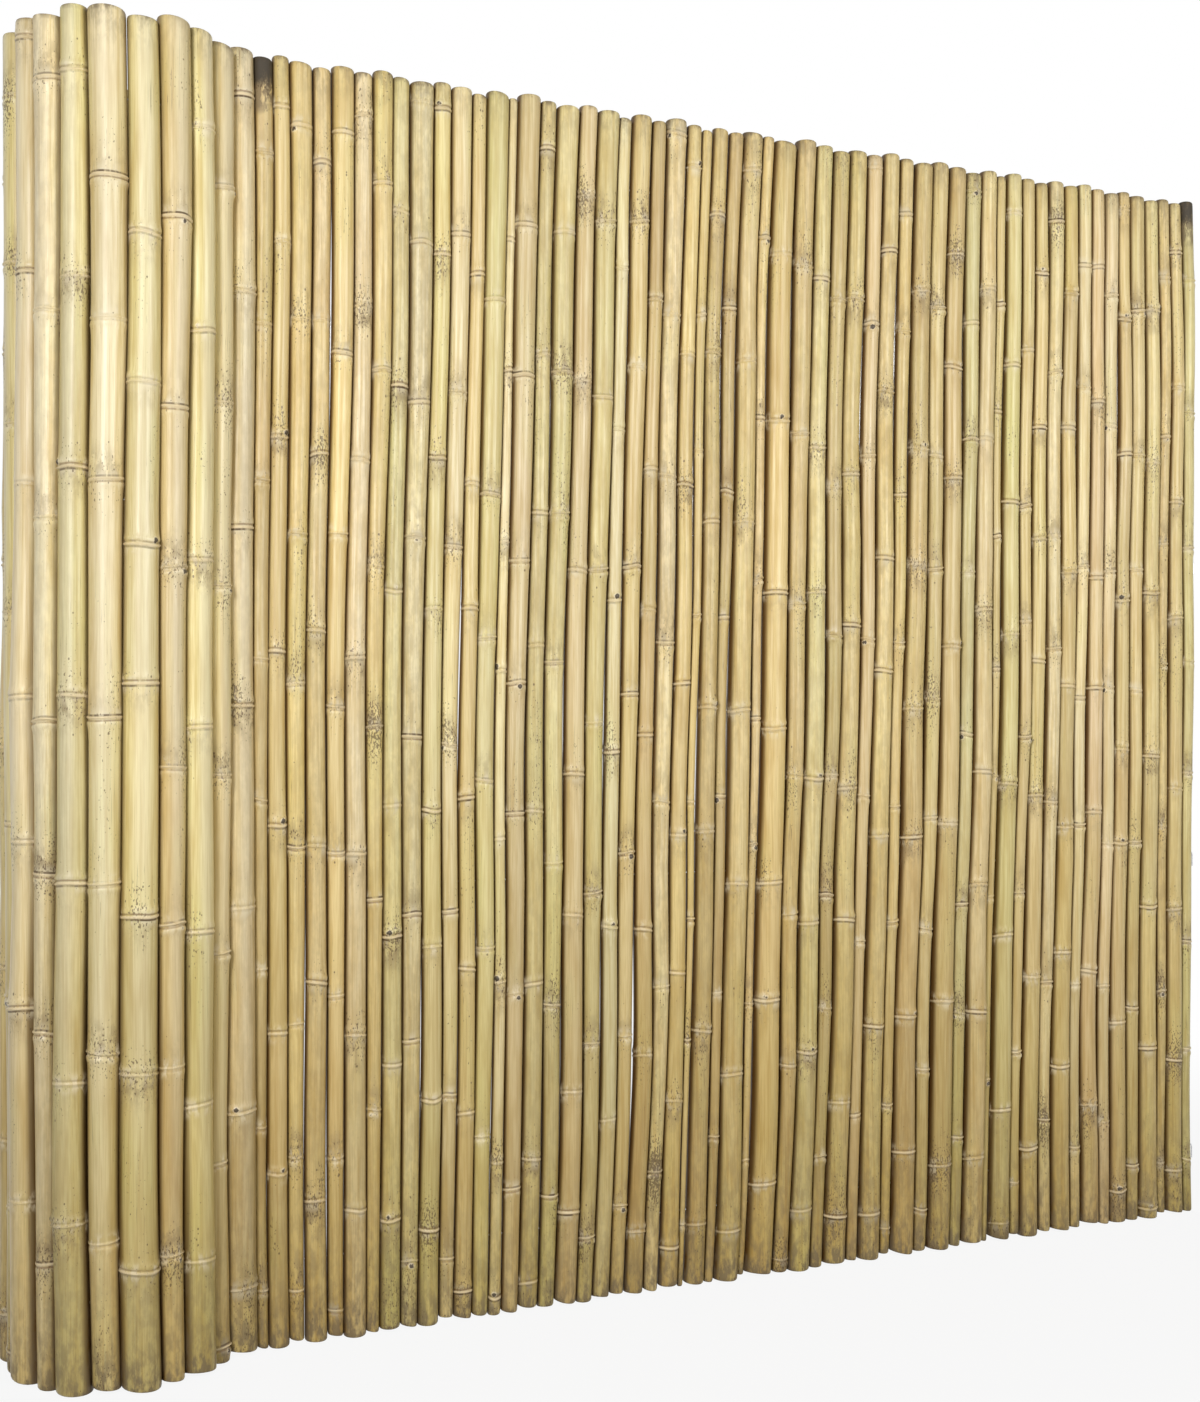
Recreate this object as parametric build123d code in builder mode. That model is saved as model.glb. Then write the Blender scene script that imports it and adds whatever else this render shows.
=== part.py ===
from build123d import *
from itertools import accumulate
from math import degrees, pi, radians, sin, tan
import os

# A bamboo screen roll, standing on the ends of its canes. A flat run of upright canes bends forward at
# its left end and curls into a roll. Each cane is drilled at four heights and threaded on four wires.
# The canes stand butt up and butt down in turn, which keeps the mat straight.
# X runs along the flat run to its free end, Y runs away from the front, and Z is up from the ground.
# Lengths are in millimetres and angles in degrees.

# Canes. Diameters are at half height, in order from the free end of the flat run to the end of the roll.
CANE_HEIGHT = 1800  # ground to the highest cane top
TOP_SPREAD = 10  # how far the cane tops differ in height
FOOT_SPREAD = 6  # how far the feet of hanging canes may be off the ground
FLAT_DIAMETERS = (
    22, 29, 20, 33, 27, 28, 25, 30, 23, 32, 26, 29, 22, 33, 14, 34, 26, 36, 27,
    37, 21, 33, 23, 34, 25, 33, 30, 41, 15, 35, 19, 28, 12, 26, 27, 25, 26, 22,
    29, 30, 29, 26, 28, 14, 27, 22, 24, 26, 28, 25, 22, 27, 25, 27, 24, 23, 18,
)
ROLL_DIAMETERS = (36, 31, 37, 31, 39, 37, 36, 30, 37, 31, 37, 33, 38, 34, 37, 33, 39, 34, 38)
FLAT_TAPER = 4  # what a cane's diameter gains at its butt and loses at its tip
ROLL_TAPER = 6
CANE_SIDES = 8  # flats round a cane
RING_RISE = 1.2  # how far the stout rings at a cane's joints stand out
RING_SPACING = 1150  # between the stout rings of one cane
RING_MARGIN = 60  # from a cane's end to the nearest ring, at least

# The mat in plan
FLAT_GAP = 3  # between neighbouring canes, at half height
ROLL_GAP = 6
LEAN = 1.6  # tilt of the canes in the middle of the flat run
BEND_ANGLE = 47  # how far the mat turns forward before it curls
BEND_RADIUS = 97
ROLL_RADIUS = 141

# Wires
WIRE_NAMES = ("foot_wire", "lower_wire", "upper_wire", "top_wire")
WIRE_DIAMETER = 2.4
WIRE_SIDES = 6  # flats round a wire
WIRE_INSET = 117  # from the cane ends to the outer wires
WIRE_TAIL = 25  # length that is turned down outside the first and the last cane
HOLE_PLAY = 0.8  # room beside a wire in its hole

# Steps of the golden ratio spread any number of canes evenly without repeating
GOLDEN_STEP = 0.618
TOP_PHASE, FOOT_PHASE, RING_PHASE = 0.1, 0.55, 0.8


def uneven(index, phase):
    """A share from 0 to 1 that varies from cane to cane."""
    return (index * GOLDEN_STEP + phase) % 1


# Cane centres, walked from the free end of the flat run into the roll
diameters = FLAT_DIAMETERS + ROLL_DIAMETERS
tapers = [FLAT_TAPER] * len(FLAT_DIAMETERS) + [ROLL_TAPER] * len(ROLL_DIAMETERS)
gaps = [FLAT_GAP] * (len(FLAT_DIAMETERS) - 1) + [ROLL_GAP] * len(ROLL_DIAMETERS)
last = len(diameters) - 1
steps = [(a + b) / 2 + gap for a, b, gap in zip(diameters, diameters[1:], gaps)]
walked = [0, *accumulate(steps)]
flat_length = walked[len(FLAT_DIAMETERS) - 1]
bend_length = BEND_RADIUS * radians(BEND_ANGLE)


def heading(distance):
    """The way that the mat runs, as an angle from X, at a distance from its free end."""
    past_flat = max(distance - flat_length, 0)
    bend = min(past_flat, bend_length) / BEND_RADIUS
    curl = max(past_flat - bend_length, 0) / ROLL_RADIUS
    return 180 + degrees(bend - curl)


def along(angle, length):
    """A step of a given length in plan."""
    return Vector(length, 0).rotate(Axis.Z, angle)


centres = [Vector(0, 0)]
gap_points = []
for index, step in enumerate(steps):
    angle = heading(walked[index] + step / 2)
    gap_points.append(centres[index] + along(angle, (diameters[index] + gaps[index]) / 2))
    centres.append(centres[index] + along(angle, step))

# The origin is on the ground under the middle of the screen
reaches = [(diameter + taper) / 2 for diameter, taper in zip(diameters, tapers)]
lows = [centre - Vector(reach, reach) for centre, reach in zip(centres, reaches)]
highs = [centre + Vector(reach, reach) for centre, reach in zip(centres, reaches)]
middle = Vector(
    (min(low.X for low in lows) + max(high.X for high in highs)) / 2,
    (min(low.Y for low in lows) + max(high.Y for high in highs)) / 2,
)
centres = [centre - middle for centre in centres]
gap_points = [point - middle for point in gap_points]

# Each wire runs straight through every cane and turns in the gaps between them
first_end = centres[0] - along(heading(0), reaches[0] + RING_RISE + WIRE_DIAMETER)
last_end = centres[last] + along(heading(walked[last]), reaches[last] + RING_RISE + WIRE_DIAMETER)
bores = list(zip([first_end, *gap_points], [*gap_points, last_end]))
wire_run = [first_end, *gap_points[len(FLAT_DIAMETERS) - 2 :], last_end]
wire_spacing = (CANE_HEIGHT - 2 * WIRE_INSET) / (len(WIRE_NAMES) - 1)
wire_levels = [WIRE_INSET + number * wire_spacing for number in range(len(WIRE_NAMES))]


def foot_of(index):
    """Height of a cane's foot. About half of the canes stand, and the others hang from the wires."""
    return max(FOOT_SPREAD * (2 * uneven(index, FOOT_PHASE) - 1), 0)


def radius_at(index, height):
    """Half the width of a tapered cane. Even canes stand butt up and odd ones butt down."""
    rise = 2 * height / CANE_HEIGHT - 1
    butt_up = 1 if index % 2 == 0 else -1
    return (diameters[index] + tapers[index] * rise * butt_up) / 2


def profile(index):
    """Height and radius of each section of a cane: its foot, each ring, each waist between, and its top."""
    foot = foot_of(index)
    top = CANE_HEIGHT - TOP_SPREAD * uneven(index, TOP_PHASE)
    ring = foot + RING_MARGIN + RING_SPACING * uneven(index, RING_PHASE)
    sections = [(foot, radius_at(index, foot))]
    while ring < top - RING_MARGIN:
        if len(sections) > 1:
            waist = ring - RING_SPACING / 2
            sections.append((waist, radius_at(index, waist)))
        sections.append((ring, radius_at(index, ring) + RING_RISE))
        ring += RING_SPACING
    return [*sections, (top, radius_at(index, top))]


def axis_at(index, height):
    """Where a cane's axis is at a height. The canes of the flat run lean most in its middle."""
    share = min(walked[index] / flat_length, 1)
    lean = LEAN * sin(pi * share)
    return centres[index] + Vector((height - CANE_HEIGHT / 2) * tan(radians(lean)), 0, height)


os.makedirs("parts", exist_ok=True)

# Canes, two neighbours to a node
hole = WIRE_DIAMETER + 2 * HOLE_PLAY


def make_cane(index):
    """A tapered cane with its rings, drilled for the wires."""
    bore_start, bore_end = bores[index]
    bore_way = bore_end - bore_start
    # A wire lies on the floor of its hole in a standing cane, and bears the roof of it in a hanging one
    seat = -HOLE_PLAY if foot_of(index) > 0 else HOLE_PLAY
    bore_shift = (bore_start + bore_end) / 2 - centres[index] + Vector(0, 0, seat)
    with BuildPart() as cane:
        for height, radius in profile(index):
            with BuildSketch(Plane(axis_at(index, height), x_dir=bore_way)):
                RegularPolygon(radius, CANE_SIDES, major_radius=False, rotation=180 / CANE_SIDES)
        loft(ruled=True)
        bore_middles = [axis_at(index, level) + bore_shift for level in wire_levels]
        with Locations(*[Plane(point, x_dir=bore_way) for point in bore_middles]):
            Box(2 * bore_way.length, hole, hole, mode=Mode.SUBTRACT)
    return cane.part


for first in range(0, len(diameters), 2):
    node = f"cane_pair_{first // 2 + 1:02d}"
    pair = Compound([make_cane(index) for index in range(len(diameters))[first : first + 2]], label=node)
    export_step(pair, f"parts/{node}.step")

# Wires, one to a node, with their ends turned down
for node, level in zip(WIRE_NAMES, wire_levels):
    run = [point + Vector(0, 0, level) for point in wire_run]
    tail = Vector(0, 0, WIRE_TAIL)
    with BuildPart() as wire:
        with BuildLine() as path:
            Polyline(run[0] - tail, *run, run[-1] - tail)
        with BuildSketch(Plane(path.line @ 0, x_dir=along(heading(0), 1), z_dir=path.line % 0)):
            RegularPolygon(WIRE_DIAMETER / 2, WIRE_SIDES, major_radius=False, rotation=180 / WIRE_SIDES)
        sweep(transition=Transition.RIGHT)
    wire.part.label = node
    export_step(wire.part, f"parts/{node}.step")
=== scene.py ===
import math

import bmesh
import bpy
import numpy as np
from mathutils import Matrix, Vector


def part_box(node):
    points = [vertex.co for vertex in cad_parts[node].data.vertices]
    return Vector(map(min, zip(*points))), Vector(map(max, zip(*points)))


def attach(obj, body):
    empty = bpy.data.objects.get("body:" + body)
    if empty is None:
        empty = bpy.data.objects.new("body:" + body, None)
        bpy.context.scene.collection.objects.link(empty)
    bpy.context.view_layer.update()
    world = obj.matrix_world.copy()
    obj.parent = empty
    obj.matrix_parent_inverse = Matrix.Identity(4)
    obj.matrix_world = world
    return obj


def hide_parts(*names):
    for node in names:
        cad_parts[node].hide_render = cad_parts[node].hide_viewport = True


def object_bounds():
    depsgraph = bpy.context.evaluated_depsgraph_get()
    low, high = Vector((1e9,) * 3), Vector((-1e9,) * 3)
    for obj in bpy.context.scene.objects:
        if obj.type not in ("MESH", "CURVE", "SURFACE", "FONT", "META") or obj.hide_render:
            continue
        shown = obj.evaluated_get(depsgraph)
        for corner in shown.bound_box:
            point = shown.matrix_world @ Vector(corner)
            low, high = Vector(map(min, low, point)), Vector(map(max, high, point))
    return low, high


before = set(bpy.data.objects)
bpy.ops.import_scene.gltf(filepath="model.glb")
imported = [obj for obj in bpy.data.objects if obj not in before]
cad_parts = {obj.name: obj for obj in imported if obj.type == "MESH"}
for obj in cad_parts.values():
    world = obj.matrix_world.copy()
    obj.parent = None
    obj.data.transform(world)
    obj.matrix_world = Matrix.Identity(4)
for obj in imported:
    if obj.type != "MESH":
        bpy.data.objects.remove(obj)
cad_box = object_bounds()

# Canes. Each is a length of dried bamboo: a tapered tube with a raised scar and a swelling at every joint,
# a bud or a cut branch on alternate sides, sawn ends, and four drilled holes for the wires.
# They stand butt up and butt down in turn, so the mat stays straight. Lengths are in metres.
CANE_SIDES = 24
CAD_FLATS = 8  # flat sides of a cane's solid
WELD = 1e-6
SAME_LEVEL = WELD * 20
LEVEL_DIGITS = 5
HOLE = 0.004
CLOSE, OPEN, LOOSE = -0.0003, 0.0005, 0.0005  # what a cane leaves free of its half of the gap beside it
LOOSE_CANES = (41, 53)  # those with daylight beside them, counted from the free end
BEND_CANES = 22  # the canes near the bend stand closest
LONG_SWAY, SHORT_SWAY, BOW = 0.003, 0.0014, 0.002  # how far a cane's axis wanders
KINK, ROLL_KINK, BOW_KINK = 0.0002, 0.0008, 0.0018  # how far it turns aside at a joint
CLOSE_WAVE, OPEN_WAVE = 0.0003, 0.0008  # bends that neighbours share, and what the open end adds to them
INTERNODE = (0.18, 0.31)
HOLE_CLEARANCE = 0.022  # between a joint and a wire hole
END_CLEARANCE = 0.016
ROW_STEP = 0.03
ROW_CLEARANCE = 0.0005
JOINT_ROWS = (-26, -17, -11, -7.5, -5, -3.4, -2.2, -1.3, -0.5, 0.3, 1.1, 2, 3, 4.2, 5.5, 7, 9, 11.5, 15, 20)
END_ROWS = (0.7, 2.5, 8)
MILLIMETRE = 0.001
END_WEAR, WEAR_REACH = 0.0017, 0.0012  # how far the edges of the sawn ends are worn back
WALL_SHARE = 0.24  # cane wall as a share of the radius
RECESS = 0.045  # from a sawn end to the first partition inside
BORE_TAPER, PARTITION_RISE = 0.97, 0.002
SAW_REACH = 0.05  # how far from its end a cane gives way to a slanting cut
MARKS = ("joint", "apart", "ring", "dust", "bud", "soil", "flank", "wax_sheen")  # what the skin's colour follows
# Relief at a joint: its height, its place above the joint and its spread along the cane
SCAR = (0.0016, 0.0, 0.0014)
SWELLING = (0.001, 0.0085, 0.0042)
FLARE = (0.0006, 0.004, 0.018)
GROOVE = (0.0007, 0.0036, 0.0017)
BUD_HEIGHT, BUD_PLACE, BUD_LENGTH, BUD_WIDTH = 0.0026, 0.0075, 0.0048, 0.0042
SCAR_DIP, SCAR_TILT = 0.0022, 0.0012  # how far the scar strays from level, at the bud and all round
CHANNEL_DEPTH, CHANNEL_TURN = 0.035, 0.42  # a share of the radius, and an angle
CHANNEL_START, CHANNEL_EASE, CHANNEL_END = 0.012, 0.02, 0.2  # along the cane, from the joint
ROLL_SQUEEZE, FLAT_SQUEEZE, SQUEEZE_EASE = 0.15, 0.85, 0.35  # share of the relief lost where canes touch


def read_canes(node, beside):
    """The canes of a CAD node, nearest first: ends and radii, ring heights, hole levels and the holes' way."""
    solid = bmesh.new()
    solid.from_mesh(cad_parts[node].data)
    bmesh.ops.remove_doubles(solid, verts=solid.verts, dist=WELD)
    solid.verts.index_update()
    island = [-1] * len(solid.verts)
    count = 0
    for start in solid.verts:
        if island[start.index] < 0:
            front = [start]
            island[start.index] = count
            while front:
                corner = front.pop()
                for edge in corner.link_edges:
                    other = edge.other_vert(corner)
                    if island[other.index] < 0:
                        island[other.index] = count
                        front.append(other)
            count += 1
    corners = np.array([corner.co for corner in solid.verts])
    solid.free()
    canes = []
    for number in range(count):
        own = corners[np.array(island) == number]
        levels, tally = np.unique(np.round(own[:, 2], LEVEL_DIGITS), return_counts=True)
        sections = levels[tally >= CAD_FLATS]
        ends = []
        for level in (levels[0], levels[-1]):
            section = own[np.abs(own[:, 2] - level) < SAME_LEVEL]
            centre = section.mean(0)
            flat = np.linalg.norm(section - centre, axis=1).mean() * math.cos(math.pi / CAD_FLATS)
            ends.append((centre, flat))
        (foot, foot_radius), (top, top_radius) = ends
        holes = []
        ways = []
        for level in wire_levels:
            about = levels[np.abs(levels - level) < HOLE]
            pairs = [(low, high) for low in about for high in about if abs(high - low - HOLE) < SAME_LEVEL]
            bottom, lid = pairs[0]
            near = own[np.isin(np.round(own[:, 2], LEVEL_DIGITS), (bottom, lid))]
            share = (near[:, 2:3] - foot[2]) / (top[2] - foot[2])
            out = (near - foot - share * (top - foot))[:, :2]
            side = np.sign(out @ out[0])
            ways.append((out * side[:, None]).sum(0))
            holes.append((bottom, lid))
        way = np.sum([step * np.sign(step @ ways[0]) for step in ways], axis=0)
        way = way / np.linalg.norm(way)
        rings = list(sections[1:-1])
        canes.append(dict(node=node, foot=foot, top=top, radii=(foot_radius, top_radius), rings=rings,
                          holes=holes, way=np.array([way[0], way[1], 0])))
    canes.sort(key=lambda cane: np.linalg.norm(cane["foot"] - beside))
    return canes


wire_nodes = [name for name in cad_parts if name.endswith("_wire")]
wire_nodes.sort(key=lambda name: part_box(name)[1].z)
WIRE_RADIUS = 0.0012
wire_levels = [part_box(name)[1].z - WIRE_RADIUS for name in wire_nodes]
cane_nodes = sorted(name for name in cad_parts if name.startswith("cane_pair"))
canes = []
beside = np.array([cad_box[1].x, 0, 0])
for node in cane_nodes:
    canes += read_canes(node, beside)
    beside = canes[-1]["foot"]
for number, cane in enumerate(canes):
    # The way along the mat, from the free end to the roll
    onward = canes[min(number + 1, len(canes) - 1)]["foot"] - canes[max(number - 1, 0)]["foot"]
    cane["way"] *= np.sign(cane["way"] @ onward)
    cane["number"] = number
    cane["growth"] = 1 if cane["radii"][0] > cane["radii"][1] else -1
flat_count = sum(1 for cane in canes if abs(cane["foot"][1] - canes[0]["foot"][1]) < MILLIMETRE)


def gap_between(cane, other):
    """The gaps at the foot and at the top between the solids of two canes."""
    apart = [np.linalg.norm((cane[end] - other[end])[:2]) for end in ("foot", "top")]
    return np.array(apart) - cane["radii"] - other["radii"]


for number, cane in enumerate(canes):
    after = gap_between(cane, canes[number + 1]) if number + 1 < len(canes) else None
    before = gap_between(cane, canes[number - 1]) if number else after
    after = before if after is None else after
    # How much stouter than its solid a cane is at its foot and top, and how far it stands to one side
    cane["gain"] = (before + after) / 4
    cane["aside"] = (after - before) / 4
    cane["ease"] = min(max((flat_count - 1 - number) / BEND_CANES, 0), 1) ** 2


def joint_heights(cane, draw):
    """Heights of a cane's joints: those of its solid's rings, and others an internode apart."""
    low, high = cane["foot"][2] + END_CLEARANCE, cane["top"][2] - END_CLEARANCE
    tall = cane["rings"][:1] or [draw.uniform(low + 0.1, high - 0.1)]
    heights = list(tall)
    while heights[-1] < high:
        heights.append(heights[-1] + draw.uniform(*INTERNODE))
    while heights[0] > low:
        heights.insert(0, heights[0] - draw.uniform(*INTERNODE))
    kept = []
    for height in heights:
        for bottom, lid in cane["holes"]:
            middle = (bottom + lid) / 2
            if abs(height - middle) < HOLE_CLEARANCE:
                height = middle + HOLE_CLEARANCE * (1 if height > middle else -1)
        if low < height < high:
            kept.append(height)
    return kept


def cane_rows(cane, joints):
    """Heights of the rings of points that a cane is built on, closest at its joints, holes and ends."""
    foot, top = cane["foot"][2], cane["top"][2]
    rows = [foot + step * MILLIMETRE for step in END_ROWS] + [top - step * MILLIMETRE for step in END_ROWS]
    for joint in joints:
        rows += [joint + step * MILLIMETRE * cane["growth"] for step in JOINT_ROWS]
    fixed = [level for hole in cane["holes"] for level in hole] + [foot, top]
    rows += list(np.arange(foot + ROW_STEP, top - ROW_STEP / 2, ROW_STEP))
    kept = sorted(fixed)
    for row in sorted(rows):
        inside = any(bottom < row < lid for bottom, lid in cane["holes"])
        if foot < row < top and not inside and min(abs(row - other) for other in kept) > ROW_CLEARANCE:
            kept.append(row)
    return np.array(sorted(kept))


def bell(distance, width):
    return np.exp(-((distance / width) ** 2))


def bulge(rise, height, place, spread):
    return height * bell(rise - place, spread)


def sway(cane, heights, joints, draw):
    """How far a cane's axis strays from a straight line, along the mat and out of it."""
    number = cane["number"]
    along = LONG_SWAY * np.sin(heights * 3.4 + number / 10) + SHORT_SWAY * np.sin(heights * 7.3 - number / 9)
    kink = ROLL_KINK if number >= flat_count else KINK + KINK * cane["ease"]
    along += np.interp(heights, joints, np.clip(draw.normal(0, kink, len(joints)), -ROLL_KINK, ROLL_KINK))
    along += np.interp(heights, (cane["foot"][2], cane["top"][2]), cane["aside"])
    if number < flat_count:
        along += (CLOSE_WAVE + OPEN_WAVE * cane["ease"]) * np.sin(heights * 11 + number * 0.55)
    across = BOW * np.sin(heights * draw.uniform(2.5, 5) + draw.uniform(0, 6))
    across += np.interp(heights, joints, draw.normal(0, BOW_KINK, len(joints)))
    # The wires hold the canes in line, and they bow only between them
    held = np.interp(heights, wire_levels, range(len(wire_levels)))
    return along, across * np.abs(np.sin(held * math.pi))


def build_cane(cane, draw):
    """Points, faces and surface marks of one cane."""
    joints = joint_heights(cane, draw)
    heights = cane_rows(cane, joints)
    foot, top = cane["foot"], cane["top"]
    in_roll = cane["number"] >= flat_count
    share = ((heights - foot[2]) / (top[2] - foot[2]))[:, None]
    slack = LOOSE if cane["number"] in LOOSE_CANES else CLOSE + (OPEN - CLOSE) * cane["ease"]
    foot_radius, top_radius = np.array(cane["radii"]) + cane["gain"] - slack
    plain = foot_radius + (top_radius - foot_radius) * share
    hole_half = (cane["holes"][0][1] - cane["holes"][0][0]) / 2
    lip = math.asin(min(hole_half / plain.mean(), 0.6))
    side = np.linspace(lip, math.pi - lip, CANE_SIDES // 2)
    turn = np.concatenate([side, side + math.pi])[None, :]

    # Radius all round, with an uneven section, joints, buds and the channels above the buds
    oval = draw.uniform(0.004, 0.014)
    radius = plain * (1 + oval * np.cos(2 * (turn - draw.uniform(0, 3))))
    squeeze = ROLL_SQUEEZE if in_roll else FLAT_SQUEEZE - SQUEEZE_EASE * cane["ease"]
    free = 1 - squeeze * np.cos(turn) ** 4
    bud_turn = draw.uniform(0, 2 * math.pi)
    marks = {name: np.zeros(radius.shape) for name in ("bud", "dust", "ring")}
    marks["joint"] = np.full(radius.shape, 9.0)
    for joint in joints:
        bud_turn += math.pi + draw.normal(0, 0.25)
        off = (turn - bud_turn + math.pi) % (2 * math.pi) - math.pi
        rise = (heights[:, None] - joint) * cane["growth"]
        strength = draw.uniform(0.55, 1.25)
        budding = draw.uniform(0, 1) ** 2
        dusty = draw.uniform(0, 1) ** 1.3
        ringed = draw.uniform(0.15, 1)
        bent = rise + SCAR_DIP * bell(off, 0.7) + SCAR_TILT * np.sin(turn + draw.uniform(0, 6))
        bump = bulge(bent, *SCAR) + bulge(bent, *SWELLING)
        bump += bulge(bent, *FLARE) - bulge(bent, *GROOVE)
        radius = radius + bump * strength * free * (1 + 0.3 * np.cos(off))
        bud = bell(off * plain, BUD_WIDTH) * bell(bent - BUD_PLACE, BUD_LENGTH)
        radius = radius + BUD_HEIGHT * budding * bud * free
        begun = np.clip((rise - CHANNEL_START) / CHANNEL_EASE, 0, 1)
        channel = bell(off, CHANNEL_TURN) * begun * np.clip(1 - rise / CHANNEL_END, 0, 1)
        radius = radius - CHANNEL_DEPTH * plain * channel
        closer = np.abs(bent) < np.abs(marks["joint"])
        for name, value in (("joint", bent), ("dust", dusty), ("ring", ringed)):
            marks[name] = np.where(closer, value, marks[name])
        marks["bud"] = np.maximum(marks["bud"], bud * (0.35 + budding))
    marks["joint"] = np.clip(marks["joint"], -0.15, 0.15)
    marks["apart"] = np.abs(marks["joint"])
    ends = np.minimum(heights - heights[0], heights[-1] - heights)
    radius = radius - END_WEAR * np.exp(-ends / WEAR_REACH)[:, None]

    # Points of the outside, with sawn ends a little out of square
    along, across = sway(cane, heights, joints, draw)
    way = cane["way"]
    outward = np.array([-way[1], way[0], 0])
    axis = foot + share * (top - foot) + along[:, None] * way + across[:, None] * outward
    cane["threads"] = [axis[np.abs(heights - bottom).argmin()] for bottom, lid in cane["holes"]]
    ring = np.cos(turn)[..., None] * way + np.sin(turn)[..., None] * outward
    points = axis[:, None, :] + radius[..., None] * ring
    slants = draw.normal(-0.1, 0.07), draw.normal(-0.06, 0.06)
    slant_turns = draw.normal(0, 0.5), draw.normal(math.pi, 0.5)
    for end, sign, slant, slant_turn in zip((0, -1), (1, -1), slants, slant_turns):
        reach = np.clip(1 - np.abs(heights - heights[end]) / SAW_REACH, 0, 1)[:, None]
        lift = math.tan(abs(slant)) * radius * (1 + np.cos(turn - slant_turn)) * reach
        points[..., 2] += sign * lift

    # Colour of each stretch between joints, duller towards sawn ends, with painted shade that darkens it
    # towards the ground
    tint = np.array(cane["tint"])[None, :] * np.ones((len(heights), 1))
    stretch = np.searchsorted(joints, heights)
    for number in range(len(joints) + 1):
        tint[stretch == number] *= draw.normal(1, 0.04) * draw.normal(1, (0.006, 0.006, 0.03))
    # Painted shade, darkest at the ground
    low_shade = np.clip(1 - heights / SHADE_HEIGHT, 0, 1)[:, None]
    tint = tint * (1 - low_shade * (1 - np.array(SHADE_TONE)))
    tint = np.repeat(np.clip(tint, 0, 0.95)[:, None, :], CANE_SIDES, axis=1)
    soil = 0.7 * np.clip(1 - heights / SPLASH_HEIGHT, 0, 1) ** 2 + 0.6 * cane["grime"]
    soil = soil + draw.uniform(0.1, 0.8) * np.clip(1 - ends / END_STAIN, 0, 1) ** 1.5
    soil = soil + draw.uniform(0.3, 1.2) * np.clip(1 - ends / END_EDGE, 0, 1)
    if cane["number"] in SCORCHED:
        soil = soil + SCORCH * np.clip(1.4 - (heights[-1] - heights) / SCORCH_REACH, 0, 1)
    marks["soil"] = np.repeat(soil[:, None], CANE_SIDES, axis=1)
    # Flanks lie against the neighbouring canes and get painted shade in the skin's colour; the free end's outer
    # flank gets none
    flank = np.abs(np.cos(turn)) * (1 if cane["number"] else np.cos(turn) > 0)
    marks["flank"] = flank * (0.88 + 0.1 * low_shade if in_roll else np.ones(low_shade.shape))
    # White on the outside of each cane: a wax bloom and a painted sheen, strongest on the roll and fading
    # towards the ground
    marks["wax_sheen"] = np.repeat((ROLL_WAX_SHEEN if in_roll else FLAT_WAX_SHEEN) * (1 - low_shade), CANE_SIDES, axis=1)

    # Sides, with a square opening on both flanks at each hole and its walls between them
    rows, sides = radius.shape
    index = np.arange(rows * sides).reshape(rows, sides)
    wrapped = np.roll(index, -1, axis=1)
    quads = np.stack([index[:-1], wrapped[:-1], wrapped[1:], index[1:]], axis=-1)
    open_rows = [int(np.argmin(np.abs(heights - bottom))) for bottom, lid in cane["holes"]]
    flanks = (sides // 2 - 1, sides - 1)
    keep = np.ones(quads.shape[:2], bool)
    for row in open_rows:
        keep[row, flanks] = False
    faces = quads[keep].tolist()
    skin_count = len(faces)
    for row in open_rows:
        near, far = quads[row, flanks[0]], quads[row, flanks[1]]
        far = far[[1, 0, 3, 2]]
        for corner in range(4):
            after = (corner + 1) % 4
            faces.append([near[corner], near[after], far[after], far[corner]])

    # Sawn ends: a wall as thick as the cane's, a recess and the partition inside it
    flat_points = [points.reshape(-1, 3)]
    sheet = [np.column_stack([marks[name].ravel() for name in MARKS])]
    tints = [tint.reshape(-1, 3)]
    total = rows * sides
    for end, inward in ((0, 1), (-1, -1)):
        edge = index[end]
        rim = points[end]
        centre = rim.mean(0)
        bore = 1 - WALL_SHARE * draw.uniform(0.8, 1.2)
        mouth = centre + (rim - centre) * bore
        deep = centre + (rim - centre) * bore * BORE_TAPER
        depth = RECESS * draw.uniform(0.5, 1.2)
        deep[:, 2] = centre[2] + inward * depth
        hub = deep.mean(0)[None, :] + np.array([[0, 0, inward * PARTITION_RISE]])
        flat_points += [mouth, deep, hub]
        extra = 2 * sides + 1
        sheet.append(np.zeros((extra, len(MARKS))))
        tints.append(np.repeat(np.array(cane["tint"])[None, :], extra, axis=0))
        inner = total + np.arange(sides)
        floor = inner + sides
        for side_number in range(sides):
            after = (side_number + 1) % sides
            around = [
                [edge[after], edge[side_number], inner[side_number], inner[after]],
                [inner[after], inner[side_number], floor[side_number], floor[after]],
                [floor[after], floor[side_number], total + 2 * sides],
            ]
            faces += around if inward > 0 else [face[::-1] for face in around]
        total += extra
    return np.concatenate(flat_points), faces, skin_count, np.concatenate(sheet), np.concatenate(tints)


def colour(red, green, blue):
    """A colour seen on the screen, from 0 to 255, as the light that a surface sends back."""
    shares = [part / 255 for part in (red, green, blue)]
    return [part / 12.92 if part <= 0.04045 else ((part + 0.055) / 1.055) ** 2.4 for part in shares]


STRAW = colour(226, 205, 148)
PALE = colour(233, 216, 170)
HONEY = colour(225, 203, 142)
GREENISH = colour(221, 208, 151)
ROSY = colour(224, 203, 156)
TAN = colour(215, 192, 136)
DUN = colour(206, 183, 130)
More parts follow.
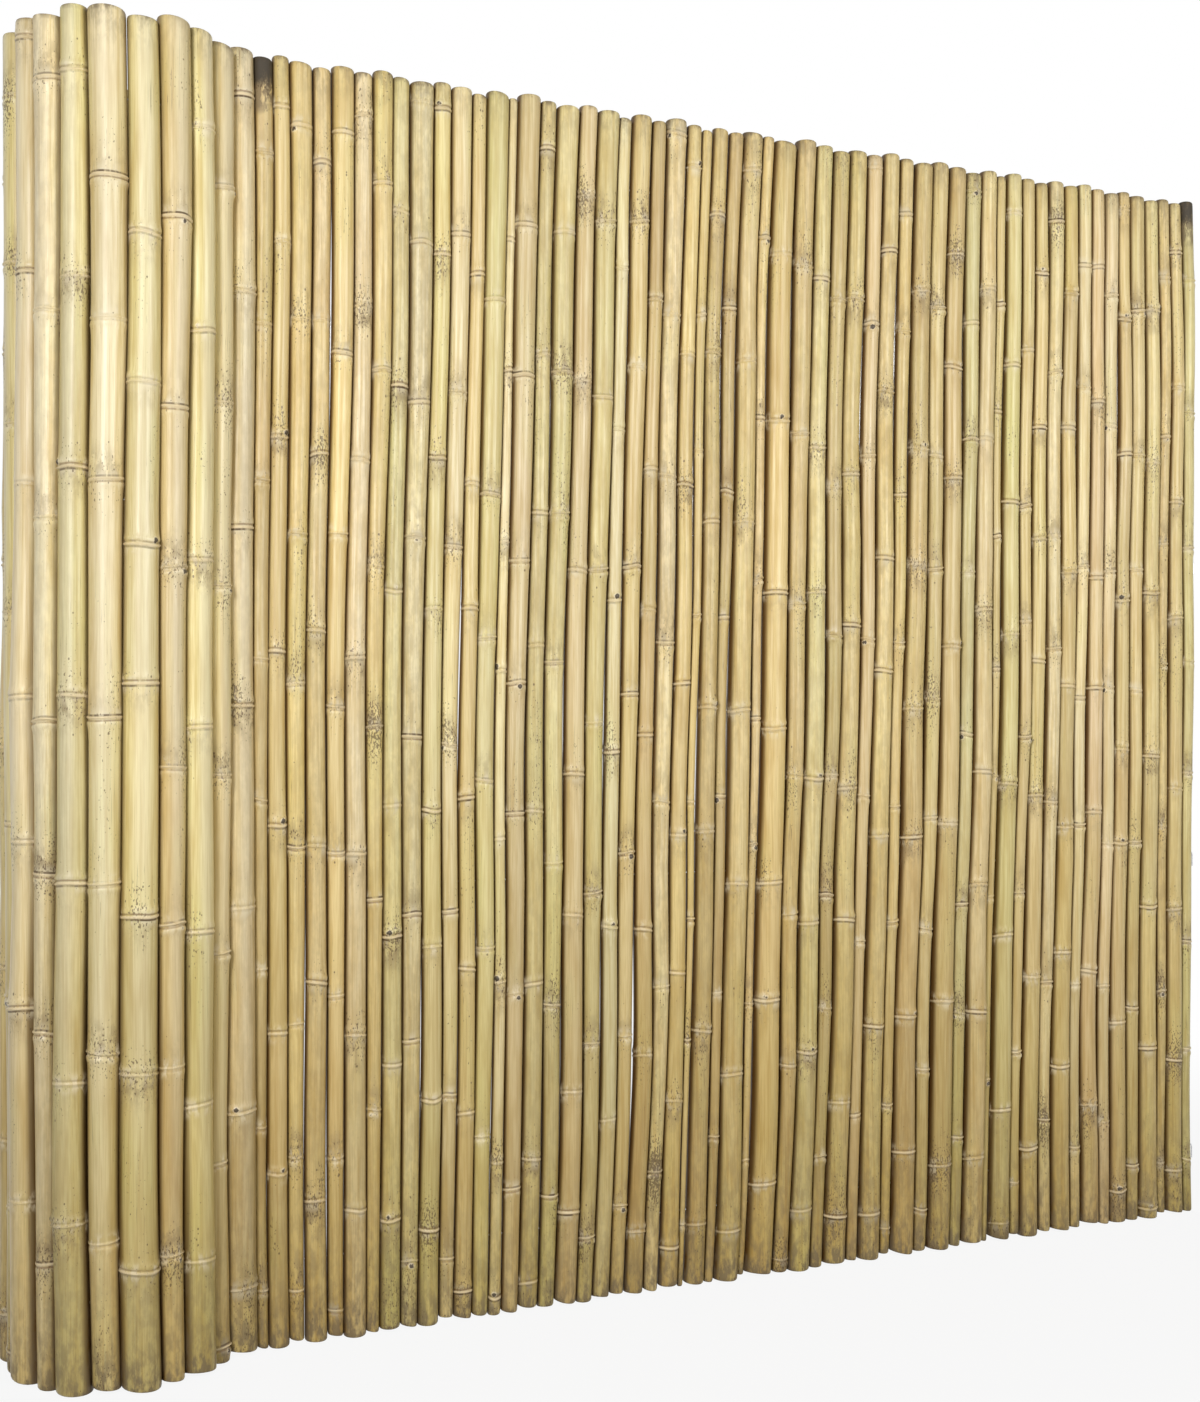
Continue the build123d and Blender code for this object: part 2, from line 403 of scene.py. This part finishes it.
# Canes that aren't straw-coloured, counted from the free end
FINISHES = (
    (PALE, (6, 8, 10, 34, 37, 43, 46, 48, 51, 62, 64, 65)),
    (HONEY, (9, 20, 23, 27, 32, 54)),
    (GREENISH, (0, 13, 16, 25, 38, 40, 41, 44, 47, 49, 59, 61, 63, 66)),
    (ROSY, (7, 15, 22, 39, 42, 57, 70)),
    (TAN, (14, 19, 26, 31, 55, 68, 72)),
    (DUN, (17, 24, 30, 35, 56, 74)),
)
SCORCHED = (0, flat_count - 1)
SCORCH, SCORCH_REACH = 6, 0.05
SPLASH_HEIGHT = 0.30  # soil is splashed up from the ground as far as this
END_STAIN, END_EDGE = 0.07, 0.006  # reach of the dirt by the sawn ends, and of that on their edges
# How white the outside of the canes is on the roll and on the flat: a wax bloom and a painted sheen
ROLL_WAX_SHEEN, FLAT_WAX_SHEEN = 0.55, 0.12
SHADE_HEIGHT = 0.85  # painted shade darkens the canes from here down to the ground
SHADE_TONE = (0.70, 0.645, 0.48)
choose = np.random.default_rng(4)
for cane in canes:
    finish = next((paint for paint, numbers in FINISHES if cane["number"] in numbers), STRAW)
    light = choose.normal(1, 0.03)
    cane["tint"] = [part * light * choose.normal(1, 0.01) for part in finish]
    cane["grime"] = choose.uniform(0, 0.7) ** 2


# Bamboo skin and sawn bamboo: straw-coloured fibres that run along the cane under a hard, waxy skin.
# The joints have a pale scar with a dark crack under it, and brown flecks and soil gather about them.
def join(tree, kind, settings, *inputs):
    """A shader node with its settings, and with a value or another node's output in each input in turn."""
    made = tree.nodes.new(kind)
    for name, value in settings.items():
        setattr(made, name, value)
    for place, value in inputs:
        if isinstance(value, bpy.types.NodeSocket):
            tree.links.new(value, made.inputs[place])
        else:
            made.inputs[place].default_value = value
    return made


def maths(tree, operation, first, second=0.0, clamp=False):
    made = join(tree, "ShaderNodeMath", {"operation": operation, "use_clamp": clamp}, (0, first), (1, second))
    return made.outputs[0]


def times(tree, first, second, clamp=False):
    return maths(tree, "MULTIPLY", first, second, clamp)


def plus(tree, first, second):
    return maths(tree, "ADD", first, second)


def between(tree, value, low, high, start=0.0, end=1.0):
    """A value that eases from start to end while another goes from low to high."""
    made = join(tree, "ShaderNodeMapRange", {"interpolation_type": "SMOOTHSTEP"},
                ("Value", value), ("From Min", low), ("From Max", high), ("To Min", start), ("To Max", end))
    return made.outputs["Result"]


def line_at(tree, value, place, core, edge):
    """A line where a value passes a place, solid as far off as core and gone at edge."""
    off = maths(tree, "ABSOLUTE", maths(tree, "SUBTRACT", value, place))
    return between(tree, off, core, edge, 1.0, 0.0)


def blend(tree, share, under, over, how="MIX"):
    made = join(tree, "ShaderNodeMix", {"data_type": "RGBA", "blend_type": how},
                (0, share), (6, under), (7, over))
    return made.outputs[2]


def grain(tree, place, size, stretch, detail=3.0, rough=0.55):
    """Noise of a size in metres, drawn out along the cane by a stretch."""
    stretched = join(tree, "ShaderNodeVectorMath", {"operation": "MULTIPLY"},
                     (0, place), (1, (1 / size, 1 / size, 1 / size / stretch)))
    made = join(tree, "ShaderNodeTexNoise", {}, ("Vector", stretched.outputs[0]), ("Scale", 1.0),
                ("Detail", detail), ("Roughness", rough))
    return made.outputs["Fac"]


fibre_group = bpy.data.node_groups.new("bamboo_fibre", "ShaderNodeTree")
fibre_group.interface.new_socket("Fibre", in_out="OUTPUT", socket_type="NodeSocketFloat")
fibre_group.interface.new_socket("Streak", in_out="OUTPUT", socket_type="NodeSocketFloat")
fibre_group.interface.new_socket("Cloud", in_out="OUTPUT", socket_type="NodeSocketFloat")
group_out = fibre_group.nodes.new("NodeGroupOutput")
group_place = fibre_group.nodes.new("ShaderNodeTexCoord").outputs["Object"]
fibre_group.links.new(grain(fibre_group, group_place, 0.0012, 60, 1), group_out.inputs["Fibre"])
fibre_group.links.new(grain(fibre_group, group_place, 0.0045, 45, 1), group_out.inputs["Streak"])
fibre_group.links.new(grain(fibre_group, group_place, 0.02, 7, 3, 0.6), group_out.inputs["Cloud"])


def new_material(name):
    made = bpy.data.materials.new(name)
    made.use_nodes = True
    tree = made.node_tree
    return made, tree, tree.nodes["Principled BSDF"]


def mark(tree, name):
    return join(tree, "ShaderNodeAttribute", {"attribute_type": "GEOMETRY", "attribute_name": name})


DUST = (0.25, 0.175, 0.085, 1)
BLOOM = (0.80, 0.70, 0.48, 1)
GRIME = (0.15, 0.11, 0.062, 1)
SPECK = (0.10, 0.06, 0.026, 1)
CHAR = (0.04, 0.031, 0.019, 1)
# a wax bloom and a painted sheen
WAX_SHEEN_TONE = (0.88, 0.84, 0.70, 1)
# painted shade between the canes
FLANK_SHADE = (0.15, 0.085, 0.025, 1)
DARKER = (0.72, 0.62, 0.41, 1)
GREENER = (0.94, 0.99, 0.84, 1)
SCAR_TONE = (0.76, 0.61, 0.37, 1)
SPLIT_TONE = (0.09, 0.052, 0.02, 1)
GROOVE_TONE = (0.19, 0.11, 0.045, 1)
BUD_TONE = (0.78, 0.68, 0.5, 1)
HEART_TONE = (0.035, 0.021, 0.011, 1)
CRACK_TONE = (0.12, 0.07, 0.03, 1)
skin, tree, shader = new_material("bamboo_skin")
place = tree.nodes.new("ShaderNodeTexCoord").outputs["Object"]
fibre = tree.nodes.new("ShaderNodeGroup")
fibre.node_tree = fibre_group
joint, apart, ring, dust, bud, soil, flank, wax_sheen = [mark(tree, name).outputs["Fac"] for name in MARKS]
ripe = mark(tree, "tint").outputs["Color"]
flecks = grain(tree, place, 0.0021, 2.0, 1)
stains = grain(tree, place, 0.010, 2.5, 3, 0.65)
cracks = grain(tree, place, 0.0026, 120, 1)
where = grain(tree, place, 0.05, 4, 1)
# Tone of the skin
dark_skin = blend(tree, 1.0, ripe, DARKER, "MULTIPLY")
green_skin = blend(tree, 1.0, ripe, GREENER, "MULTIPLY")
tone = blend(tree, between(tree, fibre.outputs["Cloud"], 0.42, 0.75, 0.0, 0.7), ripe, dark_skin)
tone = blend(tree, between(tree, where, 0.48, 0.72, 0.0, 0.6), tone, green_skin)
tone = blend(tree, between(tree, fibre.outputs["Streak"], 0.45, 0.75, 0.0, 0.65), tone, dark_skin)
tone = blend(tree, between(tree, fibre.outputs["Fibre"], 0.35, 0.8, 0.0, 0.6), tone, dark_skin)
# A white wax bloom and a painted sheen on the outside, and painted shade on the flanks, which lie against other
# canes
waxy_sheen = times(tree, wax_sheen, between(tree, flank, 0.1, 0.75, 0.5, 0.0))
tone = blend(tree, waxy_sheen, tone, WAX_SHEEN_TONE)
tone = blend(tree, between(tree, flank, 0.72, 0.97, 0.0, 0.97), tone,
             blend(tree, 1.0, tone, FLANK_SHADE, "MULTIPLY"))
# Dust and brown flecks on the butt side of a joint, a bloom about it
dusk = between(tree, joint, -0.06, -0.004)
dusk = times(tree, dusk, between(tree, joint, 0.0, 0.004, 1.0, 0.0))
dusk = times(tree, dusk, between(tree, stains, 0.38, 0.62))
dusk = times(tree, dusk, times(tree, dust, between(tree, apart, 0.05, 0.075, 1.0, 0.0)))
tone = blend(tree, times(tree, dusk, 0.8), tone, DUST)
bloom = times(tree, between(tree, apart, 0.003, 0.018, 1.0, 0.0), between(tree, stains, 0.45, 0.62))
tone = blend(tree, times(tree, bloom, 0.6), tone, BLOOM)
grimy = times(tree, soil, between(tree, stains, 0.34, 0.64), True)
tone = blend(tree, times(tree, grimy, 0.8), tone, GRIME)
thick = times(tree, between(tree, apart, 0.004, 0.08, 0.2, 0.0), plus(tree, dust, 0.2))
thick = plus(tree, thick, between(tree, where, 0.5, 0.75, 0.0, 0.16))
thick = plus(tree, thick, times(tree, soil, 0.08))
flat_place = join(tree, "ShaderNodeVectorMath", {"operation": "MULTIPLY"}, (0, place), (1, (1, 1, 0.65)))
spots = join(tree, "ShaderNodeTexVoronoi", {}, ("Vector", flat_place.outputs[0]), ("Scale", 190.0))
chance = join(tree, "ShaderNodeSeparateColor", {}, (0, spots.outputs["Color"])).outputs[0]
spot_size = between(tree, plus(tree, chance, thick), 0.92, 1.15, 0.0, 0.3)
speckled = between(tree, maths(tree, "SUBTRACT", spots.outputs["Distance"], spot_size), -0.10, 0.0, 1.0, 0.0)
speckled = maths(tree, "MAXIMUM", speckled, between(tree, plus(tree, flecks, thick), 0.82, 0.87))
tone = blend(tree, times(tree, speckled, 0.75), tone, SPECK)
charred = times(tree, between(tree, soil, 3.2, 5.0), between(tree, stains, 0.32, 0.58, 0.35, 0.95))
tone = blend(tree, charred, tone, CHAR)
# The scar, the crack under it, the groove above it and the bud
ring = times(tree, ring, between(tree, apart, 0.015, 0.03, 1.0, 0.0))
scar = line_at(tree, joint, 0.0003, 0.0008, 0.0026)
tone = blend(tree, times(tree, scar, times(tree, ring, 0.8)), tone, SCAR_TONE)
split = line_at(tree, joint, -0.003, 0.0006, 0.0021)
split = times(tree, split, between(tree, stains, 0.34, 0.6, 0.3, 1.0))
cracked = maths(tree, "POWER", ring, 2.0)
tone = blend(tree, times(tree, split, cracked), tone, SPLIT_TONE)
second = line_at(tree, joint, 0.0042, 0.0006, 0.002)
second = times(tree, second, between(tree, stains, 0.3, 0.5, 0.25, 1.0))
tone = blend(tree, times(tree, second, times(tree, ring, 0.7)), tone, GROOVE_TONE)
tone = blend(tree, between(tree, bud, 0.25, 0.6, 0.0, 0.5), tone, BUD_TONE)
heart = between(tree, plus(tree, bud, times(tree, flecks, 0.7)), 0.90, 1.05)
tone = blend(tree, times(tree, heart, 0.92), tone, HEART_TONE)
crack = line_at(tree, cracks, 0.64, 0.0, 0.014)
crack = times(tree, crack, between(tree, where, 0.54, 0.62))
tone = blend(tree, times(tree, crack, 0.65), tone, CRACK_TONE)
tree.links.new(tone, shader.inputs["Base Color"])
# Gloss and relief
dull = plus(tree, times(tree, dusk, 0.22), times(tree, grimy, 0.25))
dull = plus(tree, dull, times(tree, fibre.outputs["Cloud"], 0.22))
tree.links.new(plus(tree, dull, 0.27), shader.inputs["Roughness"])
shader.inputs["Specular IOR Level"].default_value = 0.38
relief = plus(tree, times(tree, fibre.outputs["Fibre"], 0.12), times(tree, fibre.outputs["Streak"], 0.5))
raised = join(tree, "ShaderNodeBump", {}, ("Strength", 0.55), ("Distance", 0.0008), ("Height", relief))
tree.links.new(raised.outputs["Normal"], shader.inputs["Normal"])

sawn, tree, shader = new_material("bamboo_sawn")
place = tree.nodes.new("ShaderNodeTexCoord").outputs["Object"]
fibre = tree.nodes.new("ShaderNodeGroup")
fibre.node_tree = fibre_group
bundles = join(tree, "ShaderNodeTexVoronoi", {}, ("Vector", place), ("Scale", 900.0)).outputs["Distance"]
blade = grain(tree, place, 0.004, 0.2, 2)
tone = blend(tree, between(tree, bundles, 0.1, 0.55), (0.33, 0.22, 0.10, 1), (0.66, 0.53, 0.30, 1))
tone = blend(tree, between(tree, fibre.outputs["Cloud"], 0.35, 0.75, 0.0, 0.6), tone, (0.36, 0.27, 0.15, 1))
tree.links.new(tone, shader.inputs["Base Color"])
tree.links.new(between(tree, blade, 0.2, 0.8, 0.7, 0.9), shader.inputs["Roughness"])
raised = join(tree, "ShaderNodeBump", {}, ("Strength", 0.6), ("Distance", 0.0006), ("Height", blade))
tree.links.new(raised.outputs["Normal"], shader.inputs["Normal"])

for node in cane_nodes:
    points, faces, finish = [], [], []
    mark_values, tint_values = [], []
    offset = 0
    for cane in canes:
        if cane["node"] == node:
            draw = np.random.default_rng(cane["number"] + 11)
            own, own_faces, skin_count, marks, tints = build_cane(cane, draw)
            points.append(own)
            faces += [[corner + offset for corner in face] for face in own_faces]
            finish += [0] * skin_count + [1] * (len(own_faces) - skin_count)
            mark_values.append(marks)
            tint_values.append(np.column_stack([tints, np.ones(len(tints))]))
            offset += len(own)
    mesh = bpy.data.meshes.new(node.replace("cane_pair", "bamboo_canes"))
    mesh.from_pydata(np.concatenate(points).tolist(), [], faces)
    mesh.materials.append(skin)
    mesh.materials.append(sawn)
    mesh.polygons.foreach_set("material_index", finish)
    mesh.polygons.foreach_set("use_smooth", [True] * len(faces))
    for name, values in zip(MARKS, np.concatenate(mark_values).T):
        mesh.attributes.new(name, "FLOAT", "POINT").data.foreach_set("value", np.ascontiguousarray(values))
    tint_values = np.concatenate(tint_values).ravel()
    mesh.attributes.new("tint", "FLOAT_COLOR", "POINT").data.foreach_set("color", tint_values)
    mesh.set_sharp_from_angle(angle=math.radians(55))
    piece = bpy.data.objects.new(mesh.name, mesh)
    bpy.context.scene.collection.objects.link(piece)
    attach(piece, "root")
    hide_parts(node)

# Wires. Four galvanised steel wires are threaded through the holes in the canes, from the free end to the roll.
# Each is bent over outside the first and the last cane, so it can't slip out.
WIRE_TAIL = 0.024
WIRE_STANDOFF = 0.0045  # from an end cane's solid to the tail
WIRE_BEND = 0.0015
TAIL_TURN = 0.2  # share of the tail that the bend takes up
zinc, tree, shader = new_material("galvanised_wire")
place = tree.nodes.new("ShaderNodeTexCoord").outputs["Object"]
spangle = grain(tree, place, 0.003, 1.0, 3)
tone = blend(tree, between(tree, spangle, 0.3, 0.7), (0.62, 0.64, 0.66, 1), (0.86, 0.86, 0.86, 1))
tree.links.new(tone, shader.inputs["Base Color"])
tree.links.new(between(tree, spangle, 0.3, 0.7, 0.45, 0.3), shader.inputs["Roughness"])
shader.inputs["Metallic"].default_value = 1.0
for number, node in enumerate(wire_nodes):
    level = wire_levels[number]
    path = [Vector((*cane["threads"][number][:2], level)) for cane in canes]
    first, last = canes[0], canes[-1]
    start = Vector(path[0]) - Vector(first["way"]) * (first["radii"][1] + WIRE_STANDOFF)
    finish = Vector(path[-1]) + Vector(last["way"]) * (last["radii"][1] + WIRE_STANDOFF)
    drop = Vector((0, 0, -WIRE_TAIL))
    route = [start + drop, start + drop * TAIL_TURN, start + Vector(first["way"]) * WIRE_BEND, *path,
             finish - Vector(last["way"]) * WIRE_BEND, finish + drop * TAIL_TURN, finish + drop]
    curve = bpy.data.curves.new(node + "_path", "CURVE")
    curve.dimensions = "3D"
    curve.bevel_depth = WIRE_RADIUS
    curve.bevel_resolution = 1
    curve.use_fill_caps = True
    spline = curve.splines.new("POLY")
    spline.points.add(len(route) - 1)
    for point, spot in zip(spline.points, route):
        point.co = (*spot, 1)
    tube = bpy.data.objects.new(node + "_tube", curve)
    bpy.context.scene.collection.objects.link(tube)
    bpy.context.view_layer.update()
    mesh = bpy.data.meshes.new_from_object(tube.evaluated_get(bpy.context.evaluated_depsgraph_get()))
    bpy.data.objects.remove(tube)
    mesh.materials.clear()
    mesh.materials.append(zinc)
    piece = bpy.data.objects.new("galvanised_" + node, mesh)
    bpy.context.scene.collection.objects.link(piece)
    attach(piece, "root")
    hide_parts(node)

# Studio: a pale floor that fades into a white backdrop, soft light from the left, the front and behind,
# and a camera at the photograph's place, at half the canes' height in front of the bend.
FLOOR_REACH = 30.0


def seen_rays(tree):
    """1 for what the camera sees, straight or in a mirror or glass, and 0 for light on its way to a surface."""
    rays = tree.nodes.new("ShaderNodeLightPath")
    seen = maths(tree, "MAXIMUM", rays.outputs["Is Camera Ray"], rays.outputs["Is Glossy Ray"])
    return maths(tree, "MAXIMUM", seen, rays.outputs["Is Transmission Ray"])


floor_mesh = bpy.data.meshes.new("studio_floor")
floor_mesh.from_pydata([(-FLOOR_REACH, -FLOOR_REACH, 0), (FLOOR_REACH, -FLOOR_REACH, 0),
                        (FLOOR_REACH, FLOOR_REACH, 0), (-FLOOR_REACH, FLOOR_REACH, 0)], [], [(0, 1, 2, 3)])
floor = bpy.data.objects.new("studio_floor", floor_mesh)
bpy.context.scene.collection.objects.link(floor)
paper, tree, shader = new_material("white_paper")
shader.inputs["Base Color"].default_value = (0.45, 0.45, 0.45, 1)
shader.inputs["Roughness"].default_value = 0.9
white = join(tree, "ShaderNodeEmission", {}, ("Color", (1, 1, 1, 1)), ("Strength", 1.0))
seen = seen_rays(tree)
place = tree.nodes.new("ShaderNodeTexCoord").outputs["Object"]
away = join(tree, "ShaderNodeVectorMath", {"operation": "LENGTH"}, (0, place)).outputs["Value"]
faded = times(tree, seen, between(tree, away, 1.3, 2.6, 0.9, 1.0))
mixed = join(tree, "ShaderNodeMixShader", {}, (0, faded), (1, shader.outputs[0]), (2, white.outputs[0]))
tree.links.new(mixed.outputs[0], tree.nodes["Material Output"].inputs["Surface"])
floor_mesh.materials.append(paper)

world = bpy.data.worlds.new("studio")
bpy.context.scene.world = world
world.use_nodes = True
tree = world.node_tree
seen = seen_rays(tree)
backdrop = tree.nodes["Background"]
backdrop.inputs["Color"].default_value = (1, 1, 1, 1)
tree.links.new(between(tree, seen, 0.0, 1.0, 0.05, 1.0), backdrop.inputs["Strength"])


def lamp(name, spot, target, size, power):
    light = bpy.data.lights.new(name, "AREA")
    light.shape = "RECTANGLE"
    light.size, light.size_y = size
    light.energy = power
    made = bpy.data.objects.new(name, light)
    made.location = spot
    made.rotation_mode = "QUATERNION"
    made.rotation_quaternion = (Vector(target) - Vector(spot)).to_track_quat("-Z", "Y")
    bpy.context.scene.collection.objects.link(made)


lamp("key_light", (-2.4, -2.6, 1.9), (-0.4, 0, 1.2), (0.8, 1.2), 72)
lamp("fill_light", (0.9, -3.2, 1.9), (0.6, 0, 1.3), (0.8, 1.2), 66)
lamp("back_light", (0.8, 3.2, 2.2), (0.1, 0, 1.0), (2.0, 1.6), 90)

IMAGE_HEIGHT = 1402
FOCAL_PIXELS = 1640
HORIZON_DROP = 24  # pixels from the middle of the picture down to the camera's own level
CAMERA_OFFSET = (-0.456, -2.283)  # from the roll-side edge of the last flat cane
CAMERA_HEIGHT = 0.867
VIEW_WAY = (0.3935, 0.9193, 0)
bend = canes[flat_count - 1]
bend_middle = (bend["foot"] + bend["top"]) / 2
bend_edge = bend_middle[0] - sum(bend["radii"]) / 2
camera = bpy.data.cameras.new("camera")
camera.sensor_width = 36
camera.lens = camera.sensor_width * FOCAL_PIXELS / IMAGE_HEIGHT
camera.shift_y = HORIZON_DROP / IMAGE_HEIGHT
viewer = bpy.data.objects.new("camera", camera)
viewer.location = (bend_edge + CAMERA_OFFSET[0], bend_middle[1] + CAMERA_OFFSET[1], CAMERA_HEIGHT)
viewer.rotation_mode = "QUATERNION"
viewer.rotation_quaternion = Vector(VIEW_WAY).to_track_quat("-Z", "Y")
bpy.context.scene.collection.objects.link(viewer)
bpy.context.scene.camera = viewer
bpy.context.scene.view_settings.view_transform = "Standard"
